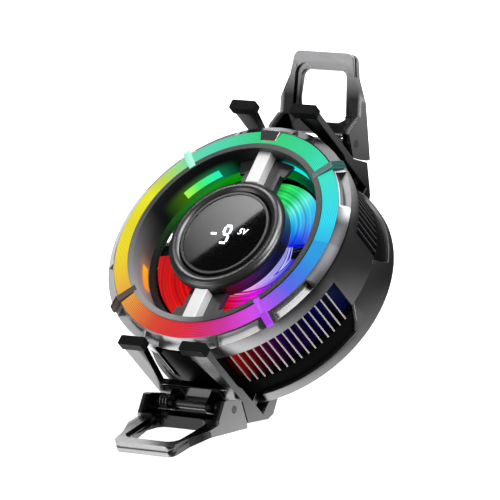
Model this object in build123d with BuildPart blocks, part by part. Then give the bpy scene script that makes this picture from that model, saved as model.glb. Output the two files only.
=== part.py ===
from build123d import *
from math import atan2, cos, pi, radians, sin
import os

os.makedirs("parts", exist_ok=True)

# Phone cooling fan. Origin on the face that lies on the phone, in the middle of the round
# cold plate. +Z points out of the display, +Y to the upper clamp, +X to the right.

# Body
body_radius = 35.0
shell_wall = 1.05
rim_width = 2.7
ring_width = 4.35
lip_width = 1.55
liner_wall = 0.6
ring_radius = body_radius - rim_width
lip_radius = ring_radius - ring_width
bore_radius = lip_radius - lip_width
bore_foot_radius = bore_radius - liner_wall
liner_radius = bore_radius + liner_wall

# Heights above the phone face
back_height = 0.9
rear_seam = 4.6
fin_foot = 9.7
side_seam = 12.0
fin_head = 22.5
liner_foot = 21.8
trough_height = 25.0
rim_height = 27.0
ring_low = 28.9
ring_high = 29.5
face_height = 29.9

# Cold side
pad_radius = 17.0
pad_thick = 0.5
plate_radius = 17.5
plate_thick = 2.0
cell_width = 30.0
cell_thick = 3.4
ceramic_thick = 0.8
insulation_wall = 1.1

# Rotor and display hub
blade_margin = 2.2
blade_radius = bore_foot_radius - blade_margin
cup_radius = 13.4
cup_foot = 17.0
cup_floor = 1.0
cup_tall = 5.8
cup_head = cup_foot + cup_tall
shaft_radius = 1.0
hub_gap = 0.8
hub_foot = cup_head + hub_gap
intake_width = 9.1
bezel_radius = bore_foot_radius - intake_width
hub_radius = bezel_radius - shell_wall / 2
bezel_top = 29.65
bezel_width = 4.8
glass_radius = bezel_radius - bezel_width
glass_top = 29.3

# Clamps
clamp_half_width = 13.0
body_gap = 0.6
riser_thick = 2.5
pin_stand = 3.6
jaw_length = 7.6
jaw_depth = 3.4
riser_inner = body_radius + body_gap
riser_outer = riser_inner + riser_thick
jaw_reach = riser_inner - jaw_length
pin_out = riser_outer + pin_stand
pin_height = 11.8
pin_radius = 1.0
finger_foot = 6.7
finger_head = 33.0
loop_length = 25.4
loop_tilt = 27.8

# Directions round the body, in degrees
side_angles = [0, 180]
clamp_angles = [90, 270]
block_angles = [45, 135, 225, 315]

# Clearances
over = 1.0
run_gap = 0.05
seat_gap = 0.05
slide_gap = 0.3
clamp_gap = 0.35


def sector(inner, outer, start, sweep):
    with BuildSketch() as wedge:
        with BuildLine():
            far = CenterArc((0, 0), outer, start, sweep)
            near = CenterArc((0, 0), inner, start, sweep)
            Line(near @ 0, far @ 0)
            Line(near @ 1, far @ 1)
        make_face()
    return wedge.sketch


# Thermal pad: soft round sheet that touches the phone
with BuildPart() as thermal_pad:
    with BuildSketch():
        Circle(pad_radius)
    extrude(amount=pad_thick)
thermal_pad.part.label = "thermal_pad"
export_step(thermal_pad.part, "parts/thermal_pad.step")

# Cold plate: round aluminium disc behind the pad, through the rear cover
plate_top = pad_thick + plate_thick
with BuildPart() as cold_plate:
    with BuildSketch(Plane.XY.offset(pad_thick)):
        Circle(plate_radius)
    extrude(amount=plate_thick)
cold_plate.part.label = "cold_plate"
export_step(cold_plate.part, "parts/cold_plate.step")

# Thermoelectric cell: two ceramic plates with a grid of pellets between them
cell_top = plate_top + cell_thick
with BuildPart() as peltier_ceramics:
    with BuildSketch(Plane.XY.offset(plate_top), Plane.XY.offset(cell_top - ceramic_thick)):
        Rectangle(cell_width, cell_width)
    extrude(amount=ceramic_thick)
peltier_ceramics.part.label = "peltier_ceramics"
export_step(peltier_ceramics.part, "parts/peltier_ceramics.step")

pellet_count = 6
pellet_share = 0.5
pellet_pitch = cell_width / (pellet_count + pellet_share)
with BuildPart() as peltier_pellets:
    with BuildSketch(Plane.XY.offset(plate_top + ceramic_thick)):
        with GridLocations(pellet_pitch, pellet_pitch, pellet_count, pellet_count):
            Rectangle(pellet_pitch * pellet_share, pellet_pitch * pellet_share)
    extrude(amount=cell_thick - 2 * ceramic_thick)
peltier_pellets.part.label = "peltier_pellets"
export_step(peltier_pellets.part, "parts/peltier_pellets.step")

# Insulation frame: square foam ring that closes the cell's edges
insulation_half = cell_width / 2 + seat_gap + insulation_wall
with BuildPart() as insulation_frame:
    with BuildSketch(Plane.XY.offset(plate_top)):
        Rectangle(2 * insulation_half, 2 * insulation_half)
        Rectangle(cell_width + 2 * seat_gap, cell_width + 2 * seat_gap, mode=Mode.SUBTRACT)
    extrude(amount=cell_thick)
insulation_frame.part.label = "insulation_frame"
export_step(insulation_frame.part, "parts/insulation_frame.step")

# Heatsink: round base with four groups of upright fins that show in the side vents
sink_base_thick = 2.1
fin_thick = 0.4
fin_count = 15
fin_pitch = 3.65
fin_first = 17.9
fin_root_radius = 12.0
fin_setback = 1.1
fin_out_radius = body_radius - fin_setback
fin_clear = 0.6
frame_wall = 2.45
frame_wall_radius = body_radius - shell_wall - frame_wall
sink_radius = frame_wall_radius - slide_gap
sink_base_top = cell_top + sink_base_thick
fin_under_rotor = cup_foot - fin_clear
guide_inner = blade_radius + fin_clear
guide_thick = 1.4
guide_foot = liner_foot - guide_thick
fin_outer_low = lip_radius + seat_gap
fin_top = fin_head - 2 * seat_gap
with BuildPart() as fin:
    with BuildSketch(Plane.XZ):
        with BuildLine():
            Polyline(
                (fin_root_radius, sink_base_top - seat_gap),
                (sink_radius, sink_base_top - seat_gap),
                (sink_radius, fin_foot + seat_gap),
                (fin_out_radius, fin_foot + seat_gap),
                (fin_out_radius, fin_top),
                (fin_outer_low, fin_top),
                (fin_outer_low, guide_foot),
                (guide_inner, guide_foot),
                (guide_inner, fin_under_rotor),
                (fin_root_radius, fin_under_rotor),
                close=True,
            )
        make_face()
    extrude(amount=fin_thick / 2, both=True)
fin_span = fin_pitch * (fin_count - 1)
fin_starts = [fin_first, 180 - fin_first - fin_span, 180 + fin_first, 360 - fin_first - fin_span]
with BuildPart() as heatsink:
    with BuildSketch(Plane.XY.offset(cell_top)):
        Circle(sink_radius)
    extrude(amount=sink_base_thick)
    for fin_start in fin_starts:
        with PolarLocations(0, fin_count, fin_start, fin_span, endpoint=True):
            add(fin.part)
heatsink.part.label = "heatsink"
export_step(heatsink.part, "parts/heatsink.step")

# Rear cover: shallow black dish with the slide channels for both clamps
back_thick = 1.1
back_top = back_height + back_thick
rear_wall = 1.47
rear_wall_inner = body_radius - rear_wall
edge_chamfer = 0.6
clamp_slot_half = clamp_half_width + clamp_gap
arm_thick = 2.0
arm_width = 2.0
arm_foot = back_top + slide_gap
arm_top = arm_foot + arm_thick
arm_margin = 1.8
arm_outer = clamp_half_width - arm_margin
arm_inner = arm_outer - arm_width
arm_end = insulation_half + clamp_gap + seat_gap
hook_width = 2.8
hook_thick = 1.4
spring_radius = 1.0
spring_wire = 0.35
spring_out = arm_inner - hook_width / 2
spring_mid = (arm_foot + arm_top) / 2
stop_thick = 1.2
stop_setback = 2.8
stop_inner = body_radius - stop_setback
stop_half = 1.1
rib_width = 1.2
rib_length = 11.0
rib_end = stop_inner - stop_thick
rib_start = rib_end - rib_length
rise_foot_share = 0.31
rise_mid_share = 0.26
rise_head_share = 0.19
rise_mid_height = 7.0
column_radius = body_radius - shell_wall - seat_gap
screw_setback = 5.5
screw_circle = body_radius - screw_setback
screw_radius = 0.9
screw_head_radius = 1.9
screw_head_depth = 1.0
with BuildPart() as rear_rise:
    with BuildSketch(Plane.XY.offset(rear_seam)):
        Circle(body_radius)
        Circle(column_radius + seat_gap, mode=Mode.SUBTRACT)
    extrude(amount=side_seam - rear_seam)
    with BuildSketch(Plane.YZ.offset(-body_radius - over)):
        with BuildLine():
            Polyline(
                (-rise_foot_share * body_radius, rear_seam),
                (rise_foot_share * body_radius, rear_seam),
                (rise_mid_share * body_radius, rise_mid_height),
                (rise_head_share * body_radius, side_seam),
                (-rise_head_share * body_radius, side_seam),
                (-rise_mid_share * body_radius, rise_mid_height),
                close=True,
            )
        make_face()
    extrude(amount=2 * (body_radius + over), mode=Mode.INTERSECT)
with BuildPart() as rear_cover:
    with BuildSketch(Plane.XZ):
        with BuildLine():
            Polyline(
                (plate_radius + seat_gap, back_height),
                (body_radius - edge_chamfer, back_height),
                (body_radius, back_height + edge_chamfer),
                (body_radius, rear_seam),
                (rear_wall_inner, rear_seam),
                (rear_wall_inner, back_top),
                (plate_radius + seat_gap, back_top),
                close=True,
            )
        make_face()
    revolve(axis=Axis.Z)
    add(rear_rise.part)
    with BuildSketch(Plane.XY.offset(back_top)):
        Rectangle(2 * clamp_slot_half, 2 * (body_radius + over))
    extrude(amount=rear_seam, mode=Mode.SUBTRACT)
    with BuildSketch(Plane.XY.offset(back_top - seat_gap)):
        for side in (-1, 1):
            for end in (-1, 1):
                with Locations((side * spring_out, end * (stop_inner + stop_thick / 2))):
                    Rectangle(2 * stop_half, stop_thick)
                with Locations((side * (clamp_slot_half + rib_width / 2), end * (rib_start + rib_end) / 2)):
                    Rectangle(rib_width, rib_end - rib_start)
    extrude(amount=arm_top - back_top)
    with BuildSketch(Plane.XY.offset(back_height - over)):
        with PolarLocations(screw_circle, 4, 45):
            Circle(screw_radius + seat_gap)
    extrude(amount=rear_seam, mode=Mode.SUBTRACT)
    with BuildSketch(Plane.XY.offset(back_height - over)):
        with PolarLocations(screw_circle, 4, 45):
            Circle(screw_head_radius + seat_gap)
    extrude(amount=over + screw_head_depth / 2, mode=Mode.SUBTRACT)
rear_cover.part.label = "rear_cover"
export_step(rear_cover.part, "parts/rear_cover.step")

# Middle frame: black ring under the fins with the posts that carry the front cover
floor_thick = 1.0
boss_radius = 2.2
column_thick = 1.8
side_column_sweep = 22.0
clamp_column_sweep = 32.0
trough_floor = 1.0
column_top = trough_height - trough_floor
port_height = 14.6
port_width = 8.94
port_tall = 3.2
port_depth = 7.4
port_setback = 0.8
port_face = body_radius - port_setback
board_thick = 1.0
board_half = 5.2
board_length = 8.9
board_setback = 1.5
board_inner = body_radius - board_setback - board_length
port_board_foot = port_height - port_tall / 2 - board_thick
with BuildPart() as mid_frame:
    with BuildSketch(Plane.XY.offset(rear_seam)):
        Circle(column_radius)
        Rectangle(2 * (insulation_half + seat_gap), 2 * (insulation_half + seat_gap), mode=Mode.SUBTRACT)
    extrude(amount=floor_thick)
    with BuildSketch(Plane.XY.offset(rear_seam)):
        Circle(column_radius)
        Circle(frame_wall_radius, mode=Mode.SUBTRACT)
    extrude(amount=fin_foot - rear_seam)
    with BuildSketch(Plane.XY.offset(fin_foot - seat_gap)):
        for centre in side_angles:
            start = centre - side_column_sweep / 2
            add(sector(column_radius - column_thick, column_radius, start, side_column_sweep))
        for centre in clamp_angles:
            start = centre - clamp_column_sweep / 2
            add(sector(column_radius - column_thick, column_radius, start, clamp_column_sweep))
    extrude(amount=column_top - fin_foot + seat_gap)
    with BuildSketch(Plane.XY.offset(back_top + seat_gap)):
        with PolarLocations(screw_circle, 4, 45):
            Circle(boss_radius)
    extrude(amount=rear_seam - back_top)
    with BuildSketch(Plane.XY.offset(back_top)):
        with PolarLocations(screw_circle, 4, 45):
            Circle(screw_radius)
    extrude(amount=rear_seam + floor_thick - back_top, mode=Mode.SUBTRACT)
    with BuildSketch(Plane.XY.offset(port_board_foot)):
        with Locations((-body_radius, 0)):
            Rectangle(2 * (body_radius - board_inner), 2 * (board_half + seat_gap))
    extrude(amount=port_tall + board_thick + 2 * seat_gap, mode=Mode.SUBTRACT)
mid_frame.part.label = "mid_frame"
export_step(mid_frame.part, "parts/mid_frame.step")

# Screws that hold the rear cover to the middle frame
with BuildPart() as case_screws:
    with BuildSketch(Plane.XY.offset(back_height + screw_head_depth / 2 - screw_radius / 2)):
        with PolarLocations(screw_circle, 4, 45):
            Circle(screw_head_radius)
    extrude(amount=screw_radius / 2)
    with BuildSketch(Plane.XY.offset(back_height + screw_head_depth / 2)):
        with PolarLocations(screw_circle, 4, 45):
            Circle(screw_radius)
    extrude(amount=rear_seam + floor_thick - back_height - screw_head_depth)
case_screws.part.label = "case_screws"
export_step(case_screws.part, "parts/case_screws.step")

# Front cover: grey outer shell with the trough of the light ring and the rim pockets
rim_wall = 0.4
apron_sweep = 25.0
recess_half = 8.0
recess_inner = body_radius - 2 * shell_wall
recess_top = rim_height - seat_gap
corner_radius = 2.0
pocket_near = 4.0
pocket_sweep = 20.0
top_pocket_near = 10.0
top_pocket_sweep = 9.0
with BuildPart() as front_cover:
    with BuildSketch(Plane.XZ):
        with BuildLine():
            Polyline(
                (liner_radius + seat_gap, column_top),
                (column_radius + seat_gap, column_top),
                (column_radius + seat_gap, fin_head),
                (body_radius, fin_head),
                (body_radius, rim_height),
                (ring_radius, ring_low),
                (ring_radius, trough_height),
                (liner_radius + seat_gap, trough_height),
                close=True,
            )
        make_face()
    revolve(axis=Axis.Z)
    with BuildSketch(Plane.XY.offset(side_seam)):
        for centre in side_angles:
            add(sector(column_radius + seat_gap, body_radius, centre - apron_sweep / 2, apron_sweep))
    extrude(amount=fin_head - side_seam)
    with BuildSketch(Plane.XY.offset(rim_height)):
        for block_angle in block_angles:
            for start in (block_angle + pocket_near, block_angle - pocket_near - pocket_sweep):
                add(sector(ring_radius + rim_wall, body_radius + over, start, pocket_sweep))
        for centre in clamp_angles:
            for start in (centre + top_pocket_near, centre - top_pocket_near - top_pocket_sweep):
                add(sector(ring_radius + rim_wall, body_radius + over, start, top_pocket_sweep))
    extrude(amount=ring_low, mode=Mode.SUBTRACT)
    with BuildSketch(Plane.XZ):
        with Locations((0, fin_head)):
            RectangleRounded(2 * recess_half, 2 * (recess_top - fin_head), corner_radius)
    extrude(amount=body_radius + over, both=True, mode=Mode.SUBTRACT)
    with BuildSketch(Plane.XY.offset(fin_head)):
        Circle(recess_inner)
        Circle(liner_radius + seat_gap, mode=Mode.SUBTRACT)
    extrude(amount=trough_height - fin_head)
    with BuildSketch(Plane.XY.offset(fin_head)):
        Circle(column_radius + seat_gap)
    extrude(amount=column_top - fin_head, mode=Mode.SUBTRACT)
    with BuildSketch(Plane.YZ.offset(-body_radius - over)):
        with Locations((0, port_height)):
            SlotOverall(port_width + 2 * slide_gap, port_tall + 2 * slide_gap)
    extrude(amount=body_radius - board_inner, mode=Mode.SUBTRACT)
front_cover.part.label = "front_cover"
export_step(front_cover.part, "parts/front_cover.step")

# Bridging blocks: four bars across the light ring from the bore edge to the rim
notch_floor = 28.0
block_width = 1.9
block_overhang = 0.5
block_start = bore_radius + block_overhang
block_end = body_radius + block_overhang
block_rise = 1.0
with BuildPart() as bridge_block:
    with BuildSketch(Plane.XZ):
        with BuildLine():
            Polyline(
                (block_start, face_height - block_rise),
                (lip_radius + seat_gap, face_height - block_rise),
                (lip_radius + seat_gap, notch_floor),
                (ring_radius - seat_gap, notch_floor),
                (ring_radius - seat_gap, ring_low),
                (ring_radius, ring_low),
                (body_radius, rim_height),
                (block_end, rim_height),
                (block_end, rim_height + block_rise),
                (ring_radius + block_rise / 2, face_height),
                (block_start, face_height),
                close=True,
            )
        make_face()
    extrude(amount=block_width / 2, both=True)
with BuildPart() as bridge_blocks:
    with PolarLocations(0, 4, 45):
        add(bridge_block.part)
bridge_blocks.part.label = "bridge_blocks"
export_step(bridge_blocks.part, "parts/bridge_blocks.step")

# Top tab: raised wedge over the light ring beside the upper clamp
tab_half_out = 3.15
tab_half_in = 2.3
tab_width = 3.3
tab_inner = ring_radius - tab_width
tab_top = 30.2
with BuildPart() as top_tab:
    with BuildSketch(Plane.XY.offset(notch_floor)):
        with BuildLine():
            Polyline(
                (-tab_half_out, ring_radius),
                (-tab_half_in, tab_inner),
                (tab_half_in, tab_inner),
                (tab_half_out, ring_radius),
                close=True,
            )
        make_face()
    extrude(amount=tab_top - notch_floor)
    with BuildSketch(Plane.YZ):
        with BuildLine():
            Polyline(
                (tab_inner, face_height - block_rise / 2),
                (ring_radius, tab_top),
                (ring_radius, tab_top + over),
                (tab_inner, tab_top + over),
                close=True,
            )
        make_face()
    extrude(amount=tab_half_out, both=True, mode=Mode.SUBTRACT)
    with BuildSketch(Plane.XY.offset(notch_floor)):
        Circle(ring_radius - 2 * seat_gap)
    extrude(amount=tab_top, mode=Mode.INTERSECT)
top_tab.part.label = "top_tab"
export_step(top_tab.part, "parts/top_tab.step")

# Light ring: milky diffuser over the light board, notched for the blocks and the tab
led_board_thick = 1.0
led_thick = 0.6
led_width = 1.6
led_count = 24
led_setback = 2.7
led_circle = ring_radius - led_setback
board_top = trough_height + led_board_thick
skirt_wall = 1.1
skirt_inner = ring_radius - skirt_wall
ring_foot = board_top + led_thick + slide_gap
with BuildPart() as glow_ring:
    with BuildSketch(Plane.XZ):
        with BuildLine():
            Polyline(
                (lip_radius + seat_gap, ring_foot),
                (skirt_inner, ring_foot),
                (skirt_inner, board_top),
                (ring_radius - seat_gap, board_top),
                (ring_radius - seat_gap, ring_low),
                (lip_radius + seat_gap, ring_high),
                close=True,
            )
        make_face()
    revolve(axis=Axis.Z)
    with BuildSketch(Plane.XY.offset(notch_floor)):
        with PolarLocations(0, 4, 45):
            Rectangle(2 * (body_radius + over), block_width)
        with BuildLine():
            Polyline(
                (-tab_half_out, ring_radius),
                (-tab_half_in, tab_inner),
                (tab_half_in, tab_inner),
                (tab_half_out, ring_radius),
                close=True,
            )
        make_face()
    extrude(amount=ring_high, mode=Mode.SUBTRACT)
glow_ring.part.label = "glow_ring"
export_step(glow_ring.part, "parts/glow_ring.step")

# Light board in the trough and the lamps soldered on it
with BuildPart() as led_board:
    with BuildSketch(Plane.XY.offset(trough_height)):
        Circle(ring_radius - seat_gap)
        Circle(liner_radius + 2 * seat_gap, mode=Mode.SUBTRACT)
    extrude(amount=led_board_thick)
led_board.part.label = "led_board"
export_step(led_board.part, "parts/led_board.step")

with BuildPart() as led_chips:
    with BuildSketch(Plane.XY.offset(board_top)):
        with PolarLocations(led_circle, led_count):
            Rectangle(led_width, led_width)
    extrude(amount=led_thick)
led_chips.part.label = "led_chips"
export_step(led_chips.part, "parts/led_chips.step")

# Bore liner: the round wall of the air intake, with its grey lip and three light windows
spoke_half = 1.95
trim_top = 28.4
flange_foot = 24.6
flange_top = 25.5
window_starts = [124, 200, 60]
window_sweeps = [24, 18, 22]
window_feet = [22.6, 22.4, 22.6]
window_tall = 2.4
with BuildPart() as bore_liner:
    with BuildSketch(Plane.XZ):
        with BuildLine():
            Polyline(
                (bore_foot_radius, liner_foot),
                (liner_radius, liner_foot),
                (liner_radius, face_height - block_rise),
                (lip_radius, face_height - block_rise),
                (lip_radius, face_height),
                (bore_radius, face_height),
                close=True,
            )
        make_face()
    revolve(axis=Axis.Z)
    for window_foot, window_start, window_sweep in zip(window_feet, window_starts, window_sweeps):
        with BuildSketch(Plane.XY.offset(window_foot)):
            add(sector(bore_foot_radius - over, liner_radius + over, window_start, window_sweep))
        extrude(amount=window_tall, mode=Mode.SUBTRACT)
    with BuildSketch(Plane.XZ):
        with Locations((0, (flange_foot + trim_top) / 2)):
            Rectangle(2 * (spoke_half + seat_gap), trim_top - flange_foot + 2 * seat_gap)
    extrude(amount=liner_radius + over, both=True, mode=Mode.SUBTRACT)
    with BuildSketch(Plane.XY.offset(face_height - block_rise)):
        with PolarLocations(0, 4, 45):
            with Locations((body_radius, 0)):
                Rectangle(2 * (body_radius - block_start), block_width)
    extrude(amount=block_rise, mode=Mode.SUBTRACT)
bore_liner.part.label = "bore_liner"
export_step(bore_liner.part, "parts/bore_liner.step")

with BuildPart() as light_windows:
    for window_foot, window_start, window_sweep in zip(window_feet, window_starts, window_sweeps):
        with BuildSketch(Plane.XY.offset(window_foot)):
            inner = bore_foot_radius + 2 * seat_gap
            add(sector(inner, liner_radius - seat_gap, window_start, window_sweep))
        extrude(amount=window_tall)
light_windows.part.label = "light_windows"
export_step(light_windows.part, "parts/light_windows.step")

# Lower light ring: clear band round the rotor at the foot of the liner
with BuildPart() as lower_light_ring:
    with BuildSketch(Plane.XY.offset(guide_foot)):
        Circle(liner_radius)
        Circle(guide_inner + seat_gap, mode=Mode.SUBTRACT)
    extrude(amount=guide_thick)
lower_light_ring.part.label = "lower_light_ring"
export_step(lower_light_ring.part, "parts/lower_light_ring.step")

# Hub frame: disc under the display on two spokes, with the bearing tube below
hub_thick = 1.6
spoke_flank = 5.6
flange_width = 3.0
flange_inner = bore_foot_radius - flange_width
flange_sweep = 38.0
tube_radius = 3.6
bush_radius = 2.5
tube_rise = 1.6
tube_foot = cup_foot + tube_rise
ledge_radius = glass_radius - liner_wall / 2
ledge_wall = 1.6
display_foot = 27.0
hub_top = hub_foot + hub_thick
with BuildPart() as hub_frame:
    with BuildSketch(Plane.XY.offset(hub_foot)):
        Circle(hub_radius)
    extrude(amount=hub_thick)
    with BuildSketch(Plane.XY.offset(hub_foot)):
        Rectangle(2 * spoke_flank, 2 * flange_inner)
    extrude(amount=flange_top - hub_foot)
    with BuildSketch(Plane.XY.offset(hub_top)):
        Circle(bezel_radius + seat_gap)
    extrude(amount=flange_top - hub_top, mode=Mode.SUBTRACT)
    with BuildSketch(Plane.XY.offset(flange_foot)):
        for centre in clamp_angles:
            add(sector(flange_inner - over, bore_foot_radius, centre - flange_sweep / 2, flange_sweep))
        Rectangle(2 * spoke_half, 2 * (liner_radius - seat_gap))
    extrude(amount=flange_top - flange_foot)
    with BuildSketch(Plane.XY.offset(hub_top)):
        Circle(bezel_radius + seat_gap)
    extrude(amount=flange_top - hub_top, mode=Mode.SUBTRACT)
    with BuildSketch(Plane.XY.offset(hub_top)):
        Circle(ledge_radius)
        Circle(ledge_radius - ledge_wall, mode=Mode.SUBTRACT)
    extrude(amount=display_foot - hub_top)
    with BuildSketch(Plane.XY.offset(tube_foot)):
        Circle(tube_radius)
    extrude(amount=hub_foot - tube_foot)
    with BuildSketch(Plane.XY.offset(tube_foot)):
        Circle(bush_radius)
    extrude(amount=hub_foot - tube_foot, mode=Mode.SUBTRACT)
hub_frame.part.label = "hub_frame"
export_step(hub_frame.part, "parts/hub_frame.step")

# Spoke trims: two bright bars on top of the spokes
with BuildPart() as spoke_trims:
    with BuildSketch(Plane.XY.offset(flange_top)):
        Rectangle(2 * spoke_half, 2 * (liner_radius - seat_gap))
        Circle(bezel_radius + 2 * seat_gap, mode=Mode.SUBTRACT)
    extrude(amount=trim_top - flange_top)
spoke_trims.part.label = "spoke_trims"
export_step(spoke_trims.part, "parts/spoke_trims.step")

# Display bezel: glossy black ring with a round back
trim_wall = 0.9
bezel_inner = glass_radius + trim_wall
bezel_round = (bezel_radius - bezel_inner) / 2
bezel_mid = bezel_inner + bezel_round
with BuildPart() as display_bezel:
    with BuildSketch(Plane.XZ):
        with Locations((bezel_mid, bezel_top - bezel_round)):
            Circle(bezel_round)
        with Locations((bezel_mid, (hub_top + bezel_top - bezel_round) / 2)):
            Rectangle(2 * bezel_round - 2 * slide_gap, bezel_top - bezel_round - hub_top)
    revolve(axis=Axis.Z)
display_bezel.part.label = "display_bezel"
export_step(display_bezel.part, "parts/display_bezel.step")

# Display stack: trim ring, board, lit digits and cover glass
display_board_thick = 1.0
digit_thick = 0.2
trim_outer = bezel_inner - seat_gap
with BuildPart() as display_trim_ring:
    with BuildSketch(Plane.XY.offset(display_foot)):
        Circle(trim_outer)
        Circle(glass_radius + seat_gap, mode=Mode.SUBTRACT)
    extrude(amount=glass_top + digit_thick - display_foot)
display_trim_ring.part.label = "display_trim_ring"
export_step(display_trim_ring.part, "parts/display_trim_ring.step")

with BuildPart() as display_board:
    with BuildSketch(Plane.XY.offset(display_foot)):
        Circle(glass_radius)
    extrude(amount=display_board_thick)
display_board.part.label = "display_board"
export_step(display_board.part, "parts/display_board.step")

digit_foot = display_foot + display_board_thick
segment_width = 0.6
segment_length = 1.75
digit_high_share = 1.2
digit_shares = [
    (-2.2, 0.0, 90),
    (-0.55, 0.62, 0),
    (0.0, 1.24, 90),
    (0.55, 0.62, 0),
    (0.0, 0.0, 90),
    (0.55, -0.62, 0),
    (0.0, -1.24, 90),
]
with BuildPart() as display_segments:
    with BuildSketch(Plane.XY.offset(digit_foot)):
        for across_share, up_share, turn in digit_shares:
            across = across_share * segment_length
            up = up_share * segment_length * digit_high_share
            with Locations(Location((across, up, 0), turn)):
                SlotOverall(segment_length, segment_width, rotation=90)
    extrude(amount=digit_thick)
display_segments.part.label = "display_segments"
export_step(display_segments.part, "parts/display_segments.step")

with BuildPart() as display_glass:
    with BuildSketch(Plane.XY.offset(digit_foot + digit_thick)):
        Circle(glass_radius)
    extrude(amount=glass_top - digit_foot - digit_thick)
display_glass.part.label = "display_glass"
export_step(display_glass.part, "parts/display_glass.step")

# Motor stator on the bearing tube, with one winding on each of its six arms
winding_over = 0.6
winding_gap = 0.4
stator_foot = cup_foot + cup_floor + winding_gap + winding_over
stator_thick = 2.6
rotor_gap = 0.5
pole_thick = 1.6
cup_wall = 1.2
magnet_wall = 1.3
stator_radius = cup_radius - cup_wall - magnet_wall - rotor_gap
pole_inner = stator_radius - pole_thick
pole_sweep = 44.0
arm_half = 0.8
winding_half = 1.7
winding_start = tube_radius + ledge_wall + 4 * seat_gap
winding_end = pole_inner - 4 * seat_gap
with BuildPart() as motor_stator:
    with BuildSketch(Plane.XY.offset(stator_foot)):
        Circle(tube_radius + ledge_wall)
        for arm_angle in range(0, 360, 60):
            with Locations(Location((0, 0, 0), arm_angle)):
                with Locations((pole_inner / 2, 0)):
                    Rectangle(pole_inner + 2 * seat_gap, 2 * arm_half)
            add(sector(pole_inner, stator_radius, arm_angle - pole_sweep / 2, pole_sweep))
        Circle(tube_radius, mode=Mode.SUBTRACT)
    extrude(amount=stator_thick)
motor_stator.part.label = "motor_stator"
export_step(motor_stator.part, "parts/motor_stator.step")

with BuildPart() as stator_windings:
    with BuildSketch(Plane.XY.offset(stator_foot - winding_over)):
        with PolarLocations((winding_start + winding_end) / 2, 6):
            Rectangle(winding_end - winding_start, 2 * winding_half)
    extrude(amount=stator_thick + 2 * winding_over)
    with BuildSketch(Plane.XY.offset(stator_foot)):
        with PolarLocations((winding_start + winding_end) / 2, 6):
            Rectangle(winding_end, 2 * arm_half)
    extrude(amount=stator_thick, mode=Mode.SUBTRACT)
stator_windings.part.label = "stator_windings"
export_step(stator_windings.part, "parts/stator_windings.step")

with BuildPart() as bearing_sleeve:
    with BuildSketch(Plane.XY.offset(tube_foot)):
        Circle(bush_radius)
        Circle(shaft_radius + run_gap, mode=Mode.SUBTRACT)
    extrude(amount=hub_foot - tube_foot)
bearing_sleeve.part.label = "bearing_sleeve"
export_step(bearing_sleeve.part, "parts/bearing_sleeve.step")

# Rotor: cup with four broad blades, the ring magnet in the cup and the shaft
blade_count = 4
blade_sweep = 84.0
blade_start = -80.0
blade_thick = 0.9
blade_steps = 6
blade_rise = 0.3
blade_drop = 1.6
blade_high = cup_head - blade_drop
blade_low = cup_foot + blade_rise
with BuildPart() as rotor_shaft:
    with BuildSketch(Plane.XY.offset(cup_foot)):
        Circle(shaft_radius)
    extrude(amount=hub_foot - cup_foot - slide_gap)
rotor_shaft.part.label = "rotor_shaft"
export_step(rotor_shaft.part, "parts/rotor_shaft.step")

with BuildPart() as blade:
    for step in range(blade_steps + 1):
        step_angle = blade_start + blade_sweep * step / blade_steps
        step_height = blade_high - (blade_high - blade_low) * step / blade_steps
        with BuildSketch(Plane.XZ.rotated((0, 0, step_angle))):
            with Locations(((cup_radius - cup_wall / 2 + blade_radius) / 2, step_height)):
                Rectangle(blade_radius - cup_radius + cup_wall / 2, blade_thick)
    loft()
with BuildPart() as impeller:
    with BuildSketch(Plane.XY.offset(cup_foot)):
        Circle(cup_radius)
    extrude(amount=cup_head - cup_foot)
    with PolarLocations(0, blade_count):
        add(blade.part)
    with BuildSketch(Plane.XY.offset(cup_foot + cup_floor)):
        Circle(cup_radius - cup_wall)
    extrude(amount=cup_head - cup_foot, mode=Mode.SUBTRACT)
    with BuildSketch(Plane.XY.offset(cup_foot)):
        Circle(shaft_radius)
    extrude(amount=cup_floor, mode=Mode.SUBTRACT)
impeller.part.label = "impeller"
export_step(impeller.part, "parts/impeller.step")

with BuildPart() as rotor_magnet:
    with BuildSketch(Plane.XY.offset(cup_foot + cup_floor)):
        Circle(cup_radius - cup_wall)
        Circle(cup_radius - cup_wall - magnet_wall, mode=Mode.SUBTRACT)
    extrude(amount=cup_head - cup_foot - cup_floor - slide_gap)
rotor_magnet.part.label = "rotor_magnet"
export_step(rotor_magnet.part, "parts/rotor_magnet.step")

# Power inlet: socket on a small board behind the opening in the left wall
socket_wall = 0.35
tongue_tall = 0.7
tongue_share = 0.74
tongue_reach = 5.0
with BuildPart() as port_board:
    with BuildSketch(Plane.XY.offset(port_board_foot)):
        with Locations((-board_inner - board_length / 2, 0)):
            Rectangle(board_length, 2 * board_half)
    extrude(amount=board_thick)
port_board.part.label = "port_board"
export_step(port_board.part, "parts/port_board.step")

with BuildPart() as usb_socket:
    with BuildSketch(Plane.YZ.offset(-port_face)):
        with Locations((0, port_height)):
            SlotOverall(port_width, port_tall)
    extrude(amount=port_depth)
    with BuildSketch(Plane.YZ.offset(-port_face - over)):
        with Locations((0, port_height)):
            SlotOverall(port_width - 2 * socket_wall, port_tall - 2 * socket_wall)
    extrude(amount=port_depth, mode=Mode.SUBTRACT)
    with BuildSketch(Plane.YZ.offset(-port_face + port_depth - tongue_reach - over)):
        with Locations((0, port_height)):
            Rectangle(port_width * tongue_share, tongue_tall)
    extrude(amount=tongue_reach + over)
usb_socket.part.label = "usb_socket"
export_step(usb_socket.part, "parts/usb_socket.step")

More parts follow.
